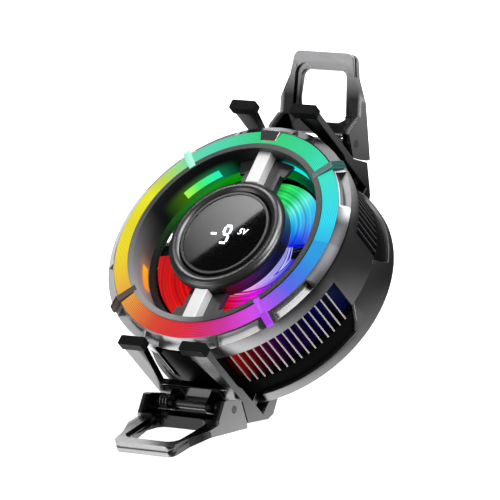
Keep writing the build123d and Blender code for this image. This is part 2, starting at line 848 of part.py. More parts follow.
# Upper clamp carriage: jaw block behind the body, slide arms, riser, fingers and knuckles.
# The ear profile is measured from the hinge pin, outward and upward.
ear_reach = 7.2
groove_top_share = (-0.45, -0.18)
groove_foot_share = (-0.05, -0.985)
ear_heel_share = (0.07, -1.1)
groove_top = (pin_out + groove_top_share[0] * ear_reach, pin_height + groove_top_share[1] * ear_reach)
groove_foot = (pin_out + groove_foot_share[0] * ear_reach, pin_height + groove_foot_share[1] * ear_reach)
pad_wall = 0.8
jaw_top = back_height - clamp_gap - seat_gap
jaw_lip_share = 0.7
heel_width = 2.3
heel_margin = 0.4
jaw_heel = riser_inner - heel_margin
jaw_toe = jaw_heel - heel_width
riser_head = 14.5
finger_half_in = 6.7
finger_base_in = 10.6
finger_thick = 1.9
finger_bend = 14.0
ear_thick = 2.2
wire_radius = 0.25
coil_pitch = 0.95
coil_turns = 3
coil_start = clamp_half_width - ear_thick - 3 * seat_gap - wire_radius - coil_turns * coil_pitch
knuckle_thick = 2.2
knuckle_mid = coil_start - wire_radius - 2 * seat_gap - knuckle_thick / 2
knuckle_radius = 1.9
finger_outline = [
    (finger_base_in, finger_foot),
    (clamp_half_width, finger_foot),
    (clamp_half_width, finger_head - pad_wall),
    (finger_half_in, finger_head - pad_wall),
    (finger_base_in, finger_bend),
]
with BuildPart() as top_carriage:
    with BuildSketch(Plane.YZ):
        with BuildLine():
            Polyline(
                (jaw_reach + pad_wall, jaw_top),
                (jaw_reach + pad_wall, -jaw_lip_share * jaw_depth),
                (jaw_toe, -jaw_depth),
                (jaw_heel, back_height - jaw_depth + seat_gap),
                (groove_foot[0] - clamp_gap, groove_foot[1] - clamp_gap),
                (riser_outer, groove_top[1] - clamp_gap),
                (riser_outer, riser_head),
                (riser_outer - finger_thick, riser_head),
                (riser_inner, riser_head - finger_thick),
                (riser_inner, jaw_top),
                close=True,
            )
        make_face()
    extrude(amount=clamp_half_width, both=True)
    with BuildSketch(Plane.XZ.offset(-riser_outer)):
        for side in (-1, 1):
            with BuildLine():
                Polyline([(side * across, up) for across, up in finger_outline], close=True)
            make_face()
    extrude(amount=finger_thick)
    with BuildSketch(Plane.XY.offset(arm_foot)):
        for side in (-1, 1):
            with Locations((side * (arm_outer + arm_inner) / 2, (arm_end + riser_inner + seat_gap) / 2)):
                Rectangle(arm_width, riser_inner + seat_gap - arm_end)
            with Locations((side * (arm_inner - hook_width / 2 + seat_gap), arm_end + hook_thick / 2)):
                Rectangle(hook_width + 2 * seat_gap, hook_thick)
    extrude(amount=arm_thick)
    for side in (-1, 1):
        with BuildSketch(Plane.YZ.offset(side * knuckle_mid)):
            with Locations((pin_out, pin_height)):
                Circle(knuckle_radius)
            with Locations(((riser_outer + pin_out) / 2 - seat_gap, pin_height)):
                Rectangle(pin_out - riser_outer + 2 * seat_gap, 2 * knuckle_radius)
        extrude(amount=knuckle_thick / 2, both=True)
    with BuildSketch(Plane.YZ):
        with Locations((pin_out, pin_height)):
            Circle(pin_radius)
    extrude(amount=clamp_half_width, both=True, mode=Mode.SUBTRACT)
top_carriage.part.label = "top_carriage"
export_step(top_carriage.part, "parts/top_carriage.step")

# Rubber finger caps and the rubber pad on the jaw
cap_foot = 31.0
cap_wall = 0.45
with BuildPart() as top_finger_caps:
    with BuildSketch(Plane.XY.offset(cap_foot)):
        for side in (-1, 1):
            middle = side * (clamp_half_width + finger_half_in - cap_wall) / 2
            with Locations((middle, riser_outer - finger_thick / 2)):
                RectangleRounded(
                    clamp_half_width - finger_half_in + 3 * cap_wall, finger_thick + 2 * cap_wall, cap_wall
                )
    extrude(amount=finger_head + cap_wall - cap_foot)
    with BuildSketch(Plane.XZ.offset(-riser_outer)):
        for side in (-1, 1):
            with BuildLine():
                Polyline([(side * across, up) for across, up in finger_outline], close=True)
            make_face()
    extrude(amount=finger_thick, mode=Mode.SUBTRACT)
top_finger_caps.part.label = "top_finger_caps"
export_step(top_finger_caps.part, "parts/top_finger_caps.step")

with BuildPart() as top_jaw_pad:
    with BuildSketch(Plane.XZ.offset(-jaw_reach)):
        with Locations((0, (jaw_top - jaw_lip_share * jaw_depth) / 2)):
            Rectangle(2 * clamp_half_width - 2 * pad_wall, jaw_top + jaw_lip_share * jaw_depth - slide_gap)
    extrude(amount=-pad_wall)
top_jaw_pad.part.label = "top_jaw_pad"
export_step(top_jaw_pad.part, "parts/top_jaw_pad.step")

# Hinge pin through the knuckles and the ears of the loop
with BuildPart() as top_hinge_pin:
    with BuildSketch(Plane.YZ):
        with Locations((pin_out, pin_height)):
            Circle(pin_radius)
    extrude(amount=clamp_half_width + seat_gap, both=True)
top_hinge_pin.part.label = "top_hinge_pin"
export_step(top_hinge_pin.part, "parts/top_hinge_pin.step")

# Finger loop: the crossing of its side profile and its plan. It has a stepped window, two
# ears with a low beam between them and a thin groove round its far end.
side_shares = [
    (-0.125, -0.028),
    (groove_top_share[0] * ear_reach / loop_length, groove_top_share[1] * ear_reach / loop_length),
    (groove_foot_share[0] * ear_reach / loop_length, groove_foot_share[1] * ear_reach / loop_length),
    (ear_heel_share[0] * ear_reach / loop_length, ear_heel_share[1] * ear_reach / loop_length),
    (0.433, 0.142),
    (0.842, 0.373),
    (0.786, 0.485),
    (0.256, 0.11),
    (0.232, 0.138),
    (0.028, 0.185),
    (0.0, 0.165),
]
window_near = 5.2
window_far = 18.9
window_near_half = 7.7
window_far_half = 7.2
sill_width = 1.4
sill_depth = 0.8
sill_corner = 3.2
face_tilt = 35.35
face_share = -0.058
beam_near = 2.4
beam_drop = 0.6
beam_end = 6.6
waist_share = 0.44
neck_share = 0.68
end_share = 0.922
neck_half = 10.3
end_half = 9.1
end_corner = 2.2
groove_start = 17.5
groove_depth = 0.5
groove_half = 0.35


def tilted_plane(tilt):
    normal = (0, -sin(radians(tilt)), cos(radians(tilt)))
    return Plane(origin=(0, pin_out, pin_height), x_dir=(1, 0, 0), z_dir=normal)


loop_plane = tilted_plane(loop_tilt)
side_points = [(pin_out + a * loop_length, pin_height + b * loop_length) for a, b in side_shares]
plan_half = [
    (clamp_half_width, -loop_length / 2),
    (clamp_half_width, waist_share * loop_length),
    (neck_half, neck_share * loop_length),
    (end_half, end_share * loop_length),
]
plan_points = plan_half + [(-across, along) for across, along in reversed(plan_half)]
with BuildPart() as top_finger_loop:
    with BuildSketch(Plane.YZ):
        with BuildLine():
            Polyline(side_points, close=True)
        make_face()
    extrude(amount=clamp_half_width, both=True)
    with BuildSketch(loop_plane.offset(-loop_length)) as loop_plan:
        with BuildLine():
            Polyline(plan_points, close=True)
        make_face()
        fillet(loop_plan.vertices().group_by(Axis.Y)[-1], radius=end_corner)
    extrude(amount=2 * loop_length, mode=Mode.INTERSECT)
    with BuildSketch(loop_plane) as loop_window:
        with BuildLine():
            Polyline(
                (-window_near_half, window_near),
                (window_near_half, window_near),
                (window_far_half, window_far),
                (-window_far_half, window_far),
                close=True,
            )
        make_face()
        fillet(loop_window.vertices(), radius=corner_radius)
    extrude(amount=loop_length, both=True, mode=Mode.SUBTRACT)
    with BuildSketch(tilted_plane(face_tilt).offset(face_share * loop_length - sill_depth)) as loop_sill:
        with BuildLine():
            Polyline(
                (-window_near_half - sill_width, window_near),
                (window_near_half + sill_width, window_near),
                (window_far_half + sill_width, window_far + sill_width),
                (-window_far_half - sill_width, window_far + sill_width),
                close=True,
            )
        make_face()
        fillet(loop_sill.vertices(), radius=sill_corner)
    extrude(amount=loop_length, mode=Mode.SUBTRACT)
    with BuildSketch(loop_plane):
        with Locations((0, beam_near - loop_length / 2)):
            Rectangle(2 * (clamp_half_width - ear_thick), loop_length)
    extrude(amount=loop_length, both=True, mode=Mode.SUBTRACT)
    with BuildSketch(loop_plane.offset(-beam_drop)):
        with Locations((0, beam_end - loop_length / 2)):
            Rectangle(2 * (clamp_half_width - ear_thick), loop_length)
    extrude(amount=loop_length, mode=Mode.SUBTRACT)
    with BuildSketch(loop_plane) as loop_groove:
        with BuildLine():
            Polyline(plan_points, close=True)
        make_face()
        fillet(loop_groove.vertices().group_by(Axis.Y)[-1], radius=end_corner)
        offset(amount=-groove_depth, mode=Mode.SUBTRACT)
        with Locations((0, groove_start - loop_length)):
            Rectangle(2 * clamp_half_width + 2 * over, 2 * loop_length, mode=Mode.SUBTRACT)
    extrude(amount=groove_half, both=True, mode=Mode.SUBTRACT)
    with BuildSketch(Plane.YZ):
        with Locations((pin_out, pin_height)):
            Circle(pin_radius + run_gap)
    extrude(amount=clamp_half_width, both=True, mode=Mode.SUBTRACT)
top_finger_loop.part.label = "top_finger_loop"
export_step(top_finger_loop.part, "parts/top_finger_loop.step")

# Loop spring: wound round the pin between the right knuckle and the ear. Its route is a
# chain of tangent arcs, two to a quarter turn, and the least gap is measured along it.
coil_radius = 1.7
arcs_per_turn = 8
arc_angle = 2 * pi / arcs_per_turn
arc_chord = 2 * coil_radius * sin(arc_angle / 2)
coil_lead = atan2(coil_pitch / arcs_per_turn * cos(arc_angle / 2), arc_chord)


def coil_point(step):
    angle = step * arc_angle
    along = coil_start + step * coil_pitch / arcs_per_turn
    return Vector(along, pin_out + coil_radius * cos(angle), pin_height + coil_radius * sin(angle))


with BuildPart() as top_loop_spring:
    with BuildLine(mode=Mode.PRIVATE) as coil_path:
        arc = TangentArc(coil_point(0), coil_point(1), tangent=(sin(coil_lead), 0, cos(coil_lead)))
        for step in range(2, coil_turns * arcs_per_turn + 1):
            arc = TangentArc(coil_point(step - 1), coil_point(step), tangent=arc % 1)
    coil_wire = coil_path.wires()[0]
    with BuildSketch(Plane(origin=coil_wire @ 0, z_dir=coil_wire % 0)):
        Circle(wire_radius)
    sweep(path=coil_wire)
top_loop_spring.part.label = "top_loop_spring"
export_step(top_loop_spring.part, "parts/top_loop_spring.step")
coil_samples = 48
coil_points = [coil_wire @ (n / (coil_turns * coil_samples)) for n in range(coil_turns * coil_samples + 1)]
coil_gaps = [
    (there - here).length - 2 * wire_radius
    for n, here in enumerate(coil_points)
    for there in coil_points[n + coil_samples // 2 :]
]
print("loop spring least gap mm", round(min(coil_gaps), 3))

# Return springs: pressed between the arm hooks and the stops in the rear cover
with BuildPart() as top_return_springs:
    with BuildSketch(Plane.XZ.offset(-arm_end - hook_thick)):
        for side in (-1, 1):
            with Locations((side * spring_out, spring_mid)):
                Circle(spring_radius)
                Circle(spring_radius - spring_wire, mode=Mode.SUBTRACT)
    extrude(amount=-(stop_inner - arm_end - hook_thick))
top_return_springs.part.label = "top_return_springs"
export_step(top_return_springs.part, "parts/top_return_springs.step")

# Lower clamp: the same pieces turned half round
with BuildPart() as bottom_carriage:
    add(top_carriage.part, rotation=(0, 0, 180))
bottom_carriage.part.label = "bottom_carriage"
export_step(bottom_carriage.part, "parts/bottom_carriage.step")

with BuildPart() as bottom_finger_caps:
    add(top_finger_caps.part, rotation=(0, 0, 180))
bottom_finger_caps.part.label = "bottom_finger_caps"
export_step(bottom_finger_caps.part, "parts/bottom_finger_caps.step")

with BuildPart() as bottom_jaw_pad:
    add(top_jaw_pad.part, rotation=(0, 0, 180))
bottom_jaw_pad.part.label = "bottom_jaw_pad"
export_step(bottom_jaw_pad.part, "parts/bottom_jaw_pad.step")

with BuildPart() as bottom_hinge_pin:
    add(top_hinge_pin.part, rotation=(0, 0, 180))
bottom_hinge_pin.part.label = "bottom_hinge_pin"
export_step(bottom_hinge_pin.part, "parts/bottom_hinge_pin.step")

with BuildPart() as bottom_finger_loop:
    add(top_finger_loop.part, rotation=(0, 0, 180))
bottom_finger_loop.part.label = "bottom_finger_loop"
export_step(bottom_finger_loop.part, "parts/bottom_finger_loop.step")

with BuildPart() as bottom_loop_spring:
    add(top_loop_spring.part, rotation=(0, 0, 180))
bottom_loop_spring.part.label = "bottom_loop_spring"
export_step(bottom_loop_spring.part, "parts/bottom_loop_spring.step")

with BuildPart() as bottom_return_springs:
    add(top_return_springs.part, rotation=(0, 0, 180))
bottom_return_springs.part.label = "bottom_return_springs"
export_step(bottom_return_springs.part, "parts/bottom_return_springs.step")
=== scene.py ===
import bmesh
import bpy
from math import pi, radians
from mathutils import Matrix, Vector


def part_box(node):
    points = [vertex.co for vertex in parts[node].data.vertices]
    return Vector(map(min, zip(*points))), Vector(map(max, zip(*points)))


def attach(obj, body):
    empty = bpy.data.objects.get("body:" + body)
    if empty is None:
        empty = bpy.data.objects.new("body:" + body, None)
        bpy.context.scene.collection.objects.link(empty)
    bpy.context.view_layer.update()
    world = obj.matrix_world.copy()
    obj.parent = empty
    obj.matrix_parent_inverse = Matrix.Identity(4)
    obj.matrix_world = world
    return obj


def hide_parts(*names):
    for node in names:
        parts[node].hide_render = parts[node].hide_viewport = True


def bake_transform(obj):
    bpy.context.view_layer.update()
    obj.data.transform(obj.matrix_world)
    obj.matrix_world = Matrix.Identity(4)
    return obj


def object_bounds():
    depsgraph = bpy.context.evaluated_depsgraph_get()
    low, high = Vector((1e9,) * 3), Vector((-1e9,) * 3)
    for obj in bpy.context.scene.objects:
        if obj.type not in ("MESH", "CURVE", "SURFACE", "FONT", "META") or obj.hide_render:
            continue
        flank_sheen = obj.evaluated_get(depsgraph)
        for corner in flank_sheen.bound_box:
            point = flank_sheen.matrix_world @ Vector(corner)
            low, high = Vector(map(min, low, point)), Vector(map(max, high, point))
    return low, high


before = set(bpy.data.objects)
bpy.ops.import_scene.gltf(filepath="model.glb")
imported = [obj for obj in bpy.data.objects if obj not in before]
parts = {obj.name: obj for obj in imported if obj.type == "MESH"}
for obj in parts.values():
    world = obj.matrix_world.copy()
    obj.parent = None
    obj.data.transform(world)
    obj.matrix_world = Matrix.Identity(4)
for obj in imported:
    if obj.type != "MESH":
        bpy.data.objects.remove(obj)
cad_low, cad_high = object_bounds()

scene = bpy.context.scene

# Camera: stands above and to the right of the cooler, with the top clamp upwards in the
# picture. Its axes come from the circles of the housing as the photograph shows them.
camera_right = Vector((0.81006, 0.38013, -0.44644))
camera_up = Vector((-0.07128, 0.81958, 0.56852))
camera_back = camera_right.cross(camera_up).normalized()
camera_distance = 1.5014
camera_lens = 420.7
film_width = 36
nearest_seen = 0.05
farthest_seen = 20
aim_height = 0.0299
aim_right = 0.006755
aim_down = 0.004728


def turned(place, side, up, back):
    return Matrix.Translation(place) @ Matrix((side, up, back)).transposed().to_4x4()


camera_target = Vector((0, 0, aim_height)) + camera_right * aim_right - camera_up * aim_down
camera_data = bpy.data.cameras.new("camera")
camera_data.sensor_width = film_width
camera_data.lens = camera_lens
camera_data.clip_start = nearest_seen
camera_data.clip_end = farthest_seen
camera = bpy.data.objects.new("camera", camera_data)
camera.matrix_world = turned(
    camera_target + camera_back * camera_distance, camera_right, camera_up, camera_back
)
scene.collection.objects.link(camera)
scene.camera = camera
scene.view_settings.view_transform = "Standard"

# Room: a dim white surround on all sides, so that no polished side of the cooler mirrors
# plain black.
room_strength = 0.06
world = bpy.data.worlds.new("room")
world.use_nodes = True
room_light = world.node_tree.nodes["Background"]
room_light.inputs["Color"].default_value = (1, 1, 1, 1)
room_light.inputs["Strength"].default_value = room_strength
scene.world = world

# Floor: pale paper under the cooler. The camera sees it plain white. The polished sides
# mirror it lit by zones, bright at the left and dim along a strip at the right.
floor_half = 6
floor_gap = 0.012
strip_end_x = 0.0
strip_dim_x = 0.09
strip_middle_y = 0.0325
strip_half = 0.0125
strip_lit = 0.065
left_start_x = -0.06
left_full_x = -0.09
left_share = 0.6
zone_strength = 2.0
zone_least = 0.05


def made_piece(name, shape):
    data = bpy.data.meshes.new(name)
    shape.to_mesh(data)
    shape.free()
    piece = bpy.data.objects.new(name, data)
    scene.collection.objects.link(piece)
    return piece


def new_finish(name):
    finish = bpy.data.materials.new(name)
    finish.use_nodes = True
    return finish, finish.node_tree, finish.node_tree.nodes["Principled BSDF"]


def feed(tree, source, socket):
    if isinstance(source, bpy.types.NodeSocket):
        tree.links.new(source, socket)
    else:
        socket.default_value = source


def reckon(tree, operation, *terms):
    node = tree.nodes.new("ShaderNodeMath")
    node.operation = operation
    for term, socket in zip(terms, node.inputs):
        feed(tree, term, socket)
    return node.outputs[0]


def fade(tree, value, start, end, low=0, high=1, way="LINEAR"):
    node = tree.nodes.new("ShaderNodeMapRange")
    node.interpolation_type = way
    for name, source in (
        ("Value", value),
        ("From Min", start),
        ("From Max", end),
        ("To Min", low),
        ("To Max", high),
    ):
        feed(tree, source, node.inputs[name])
    return node.outputs["Result"]


def object_axes(tree):
    place = tree.nodes.new("ShaderNodeTexCoord")
    axes = tree.nodes.new("ShaderNodeSeparateXYZ")
    tree.links.new(place.outputs["Object"], axes.inputs[0])
    return axes.outputs


floor_bm = bmesh.new()
bmesh.ops.create_grid(floor_bm, x_segments=1, y_segments=1, size=floor_half)
bmesh.ops.translate(floor_bm, verts=floor_bm.verts, vec=(0, 0, cad_low.z - floor_gap))
floor = made_piece("floor", floor_bm)
floor_paint, floor_tree, floor_shader = new_finish("floor_paint")
floor_shader.inputs["Base Color"].default_value = (0.97, 0.97, 0.97, 1)
floor_shader.inputs["Roughness"].default_value = 0.9
floor_shader.inputs["Emission Color"].default_value = (1, 1, 1, 1)
floor_shader.inputs["Emission Strength"].default_value = 0.72
floor_axes = object_axes(floor_tree)
from_strip = reckon(floor_tree, "ABSOLUTE", reckon(floor_tree, "SUBTRACT", floor_axes["Y"], strip_middle_y))
zone_main = reckon(
    floor_tree,
    "MULTIPLY",
    fade(floor_tree, floor_axes["X"], strip_dim_x, strip_end_x),
    fade(floor_tree, from_strip, strip_half, strip_lit),
)
zone_left = fade(floor_tree, floor_axes["X"], left_start_x, left_full_x, high=left_share)
zones = reckon(floor_tree, "MAXIMUM", zone_main, zone_left)
floor_glow = floor_tree.nodes.new("ShaderNodeEmission")
zone_power = reckon(floor_tree, "MULTIPLY_ADD", zones, zone_strength, zone_least)
feed(floor_tree, zone_power, floor_glow.inputs["Strength"])
floor_path = floor_tree.nodes.new("ShaderNodeLightPath")
floor_mix = floor_tree.nodes.new("ShaderNodeMixShader")
feed(floor_tree, floor_path.outputs["Is Camera Ray"], floor_mix.inputs[0])
feed(floor_tree, floor_glow.outputs[0], floor_mix.inputs[1])
feed(floor_tree, floor_shader.outputs[0], floor_mix.inputs[2])
feed(floor_tree, floor_mix.outputs[0], floor_tree.nodes["Material Output"].inputs["Surface"])
floor.data.materials.append(floor_paint)


# Soft boxes: six white light panels on stands. They light the right side, the lower left,
# the back, the face, the front and the lower finger loop.
def soft_box(name, place, aim, along, wide, tall, watts):
    lamp = bpy.data.lights.new(name, "AREA")
    lamp.shape = "RECTANGLE"
    lamp.size = wide
    lamp.size_y = tall
    lamp.energy = watts
    back = (Vector(place) - Vector(aim)).normalized()
    side = (Vector(along) - back * back.dot(Vector(along))).normalized()
    box = bpy.data.objects.new(name, lamp)
    box.matrix_world = turned(place, side, back.cross(side), back)
    scene.collection.objects.link(box)


cooler_middle = (0, 0, 0.02)
soft_box("right_box", (0.9, 0.1, 0.35), (0, 0, 0.015), (0.1, 1, 0), wide=0.9, tall=0.3, watts=6)
soft_box("low_box", (-0.5, -0.95, 0.1), (0, 0, 0.01), (1, -0.5, 0), wide=0.8, tall=0.25, watts=2)
soft_box("back_box", (0.35, 0.9, 0.55), cooler_middle, (1, -0.3, 0), wide=0.7, tall=0.35, watts=5)
soft_box("top_box", (0.5, 0.45, 1.0), cooler_middle, (1, 0.4, 0), wide=0.6, tall=0.6, watts=9)
soft_box("front_box", (-0.6, -0.7, 0.45), cooler_middle, (0.7, -0.6, 0), wide=0.7, tall=0.35, watts=2)
soft_box("loop_box", (-0.62, -0.35, 0.8), cooler_middle, (0.5, -0.8, 0), wide=0.35, tall=0.2, watts=0.9)

# Ceiling panel: a soft panel whose straight edge shows in the display glass, where the
# mirrored camera meets it. It fades towards one end, as the photograph's reflection does.
panel_height = 1.0
grid_half = 0.5
panel_length = 0.7
panel_depth = 0.5
panel_slide = 0.28
panel_dim_end = -0.31
panel_full = -0.24
panel_dim = 0.2
panel_bright = 8
edge_in_glass = ((-0.0065, -0.0097), (0.0084, 0.0085))
glass_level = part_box("display_glass")[1].z
mirror_eye = camera.matrix_world.translation.copy()
mirror_eye.z = 2 * glass_level - mirror_eye.z
reach = (panel_height - mirror_eye.z) / (glass_level - mirror_eye.z)
edge_ends = [mirror_eye + (Vector((*spot, glass_level)) - mirror_eye) * reach for spot in edge_in_glass]
edge_way = (edge_ends[1] - edge_ends[0]).normalized()
edge_side = Vector((-edge_way.y, edge_way.x, 0))
edge_middle = (edge_ends[0] + edge_ends[1]) / 2
panel_bm = bmesh.new()
bmesh.ops.create_grid(panel_bm, x_segments=1, y_segments=1, size=grid_half)
bmesh.ops.scale(panel_bm, verts=panel_bm.verts, vec=(panel_length, panel_depth, 1))
panel = made_piece("ceiling_panel", panel_bm)
panel.matrix_world = turned(
    edge_middle + edge_side * panel_depth / 2 + edge_way * panel_slide, edge_way, edge_side, Vector((0, 0, 1))
)
panel_light, panel_tree, panel_plain = new_finish("panel_light")
panel_tree.nodes.remove(panel_plain)
panel_glow = panel_tree.nodes.new("ShaderNodeEmission")
panel_power = fade(
    panel_tree, object_axes(panel_tree)["X"], panel_dim_end, panel_full, panel_dim, panel_bright
)
feed(panel_tree, panel_power, panel_glow.inputs["Strength"])
feed(panel_tree, panel_glow.outputs[0], panel_tree.nodes["Material Output"].inputs["Surface"])
panel.data.materials.append(panel_light)


# Grain: the fine mottling that moulding, casting and painting leave on the cooler's skins.
# It gives a mask for colour and roughness and a height for the bump.
def new_effect(name, inputs, outputs):
    group = bpy.data.node_groups.new(name, "ShaderNodeTree")
    for label in inputs:
        group.interface.new_socket(label, in_out="INPUT", socket_type="NodeSocketFloat")
    for label in outputs:
        kind = "NodeSocketColor" if label == "Color" else "NodeSocketFloat"
        group.interface.new_socket(label, in_out="OUTPUT", socket_type=kind)
    taken = group.nodes.new("NodeGroupInput").outputs
    given = group.nodes.new("NodeGroupOutput").inputs
    return group, taken, given


def effect(tree, group, **values):
    node = tree.nodes.new("ShaderNodeGroup")
    node.node_tree = group
    for label, source in values.items():
        feed(tree, source, node.inputs[label])
    return node.outputs


cloud_scale = 60
grain, grain_taken, grain_given = new_effect("fine_grain", ["Scale"], ["Mask", "Height"])
grain_place = grain.nodes.new("ShaderNodeTexCoord")
grain_noise = grain.nodes.new("ShaderNodeTexNoise")
grain_noise.inputs["Detail"].default_value = 5
grain_cloud = grain.nodes.new("ShaderNodeTexNoise")
grain_cloud.inputs["Scale"].default_value = cloud_scale
feed(grain, grain_place.outputs["Object"], grain_noise.inputs["Vector"])
feed(grain, grain_place.outputs["Object"], grain_cloud.inputs["Vector"])
feed(grain, grain_taken["Scale"], grain_noise.inputs["Scale"])
feed(grain, grain_cloud.outputs["Fac"], grain_given["Mask"])
feed(grain, grain_noise.outputs["Fac"], grain_given["Height"])

# Rear cover, middle frame and screws: the rear dish is smoky metal-look gloss, moulded, and
# the frame matt black. Four steel screws from behind hold the shells together.
grain_scale = 4000
grain_strength = 0.05
grain_depth = 0.0001
coat_roughness = 0.06
weld_reach = 0.000005
bevel_from_angle = radians(35)
frame_edge = 0.00015
shell_edge = 0.0002
# Heights and reaches of the rear dish's painted highlight along its foot and towards +x.
rear_dark_z = 0.0052
rear_highlight_z = 0.0046
rear_dark_x = 0.0305
rear_highlight_x = 0.034


def mixed(tree, share, first, second):
    node = tree.nodes.new("ShaderNodeMix")
    node.data_type = "RGBA"
    for name, source in (("Factor", share), ("A", first), ("B", second)):
        feed(tree, (*source, 1) if isinstance(source, tuple) else source, node.inputs[name])
    return node.outputs["Result"]


def relief(tree, shader, height, strength, depth):
    bump = tree.nodes.new("ShaderNodeBump")
    bump.inputs["Strength"].default_value = strength
    bump.inputs["Distance"].default_value = depth
    feed(tree, height, bump.inputs["Height"])
    feed(tree, bump.outputs["Normal"], shader.inputs["Normal"])


def grained(name, rough_low, rough_high, metal=0.0, coat=0.0, gloss=0.5):
    finish, tree, shader = new_finish(name)
    shader.inputs["Metallic"].default_value = metal
    shader.inputs["Specular IOR Level"].default_value = gloss
    shader.inputs["Coat Weight"].default_value = coat
    shader.inputs["Coat Roughness"].default_value = coat_roughness
    mottle = effect(tree, grain, Scale=grain_scale)
    feed(tree, fade(tree, mottle["Mask"], 0, 1, rough_low, rough_high), shader.inputs["Roughness"])
    relief(tree, shader, mottle["Height"], grain_strength, grain_depth)
    return finish, tree, shader, mottle["Mask"]


def skin(name, dark, light, rough_low, rough_high, **more):
    finish, tree, shader, mask = grained(name, rough_low, rough_high, **more)
    feed(tree, mixed(tree, mask, dark, light), shader.inputs["Base Color"])
    return finish


def dress(name, finish, edge=0.0):
    piece = parts[name]
    if piece.material_slots:
        for one in piece.material_slots:
            one.material = finish
    else:
        piece.data.materials.append(finish)
    if edge:
        weld = piece.modifiers.new("weld", "WELD")
        weld.merge_threshold = weld_reach
        bevel = piece.modifiers.new("edge", "BEVEL")
        bevel.width = edge
        bevel.segments = 2
        bevel.limit_method = "ANGLE"
        bevel.angle_limit = bevel_from_angle
        bevel.harden_normals = False


frame_black = skin("frame_black", (0.003, 0.003, 0.003), (0.006, 0.006, 0.006), 0.3, 0.42, gloss=0.01)
dress("mid_frame", frame_black, frame_edge)
# The rear dish is painted pale along its foot and towards its +x end: a painted highlight on its dark smoky
# tone.
rear_grey, rear_tree, rear_shader, _ = grained("rear_grey", 0.26, 0.34, metal=1.0)
rear_axes = object_axes(rear_tree)
rear_painted_highlight = reckon(
    rear_tree,
    "MAXIMUM",
    fade(rear_tree, rear_axes["Z"], rear_dark_z, rear_highlight_z),
    fade(rear_tree, rear_axes["X"], rear_dark_x, rear_highlight_x),
)
rear_highlight_tone = mixed(rear_tree, rear_painted_highlight, (0.03, 0.03, 0.031), (0.26, 0.26, 0.265))
feed(rear_tree, rear_highlight_tone, rear_shader.inputs["Base Color"])
dress("rear_cover", rear_grey, shell_edge)
screw_steel = skin("screw_steel", (0.2, 0.2, 0.2), (0.3, 0.3, 0.3), 0.25, 0.4, metal=1.0)
dress("case_screws", screw_steel)

# Light ring: a milky diffuser in the trough of the front cover, turned with fine rings in
# eight patches. It glows in the colour of the lamp below it, once round the colour circle.
ring_pitch = 0.00045
ring_patches = 8
patch_start = -0.2
patch_full = 0.5
line_dim = 0.6
line_bright = 1.15
line_relief = 0.3
line_depth = 0.0001
screen_gamma = 2.2
ring_colours = {
    0: (0, 190, 240),
    12: (20, 225, 250),
    40: (50, 235, 209),
    60: (34, 224, 164),
    88: (30, 215, 110),
    120: (75, 222, 184),
    132: (95, 225, 180),
    142: (150, 228, 130),
    152: (200, 225, 60),
    162: (245, 242, 20),
    180: (240, 225, 5),
    195: (250, 225, 20),
    212: (247, 200, 50),
    226: (238, 165, 60),
    240: (228, 118, 50),
    252: (222, 70, 40),
    264: (225, 45, 45),
    274: (228, 25, 60),
    284: (215, 28, 110),
    294: (210, 38, 160),
    304: (220, 60, 215),
    312: (215, 75, 245),
    322: (150, 85, 243),
    332: (85, 100, 235),
    342: (40, 130, 238),
    352: (5, 160, 235),
}


def ramp(tree, share, colours):
    """Colours by degrees round the housing, as red, green and blue from 0 to 255."""
    node = tree.nodes.new("ShaderNodeValToRGB")
    stops = node.color_ramp.elements
    while len(stops) > 1:
        stops.remove(stops[-1])
    for number, (degrees_round, tone) in enumerate(colours.items()):
        stop = stops.new(degrees_round / 360) if number else stops[0]
        stop.position = degrees_round / 360
        stop.color = tuple((value / 255) ** screen_gamma for value in tone) + (1,)
    feed(tree, share, node.inputs["Fac"])
    return node.outputs["Color"]


def vector_step(tree, operation, first, second=None):
    node = tree.nodes.new("ShaderNodeVectorMath")
    node.operation = operation
    feed(tree, first, node.inputs[0])
    if second is not None:
        feed(tree, second, node.inputs["Scale" if operation == "SCALE" else 1])
    return node.outputs["Value" if operation == "LENGTH" else "Vector"]


hue, _, hue_given = new_effect("colour_by_angle", [], ["Color", "Angle", "Radius"])
hue_place = hue.nodes.new("ShaderNodeTexCoord")
hue_axes = object_axes(hue)
hue_turn = reckon(hue, "ARCTAN2", hue_axes["Y"], hue_axes["X"])
hue_angle = reckon(hue, "FRACT", reckon(hue, "MULTIPLY_ADD", hue_turn, 1 / (2 * pi), 1))
hue_flat = vector_step(hue, "MULTIPLY", hue_place.outputs["Object"], (1, 1, 0))
feed(hue, ramp(hue, hue_angle, ring_colours), hue_given["Color"])
feed(hue, hue_angle, hue_given["Angle"])
feed(hue, vector_step(hue, "LENGTH", hue_flat), hue_given["Radius"])

rings, rings_taken, rings_given = new_effect(
    "turned_rings", ["Radius", "Angle", "Pitch", "Patches"], ["Wave"]
)
rings_phase = reckon(rings, "DIVIDE", rings_taken["Radius"], rings_taken["Pitch"])
rings_wave = reckon(rings, "SINE", reckon(rings, "MULTIPLY", rings_phase, 2 * pi))
patch_phase = reckon(rings, "MULTIPLY", rings_taken["Angle"], rings_taken["Patches"])
patch_wave = reckon(rings, "SINE", reckon(rings, "MULTIPLY", patch_phase, 2 * pi))
patch_mask = fade(rings, patch_wave, patch_start, patch_full)
feed(rings, reckon(rings, "MULTIPLY", rings_wave, patch_mask), rings_given["Wave"])


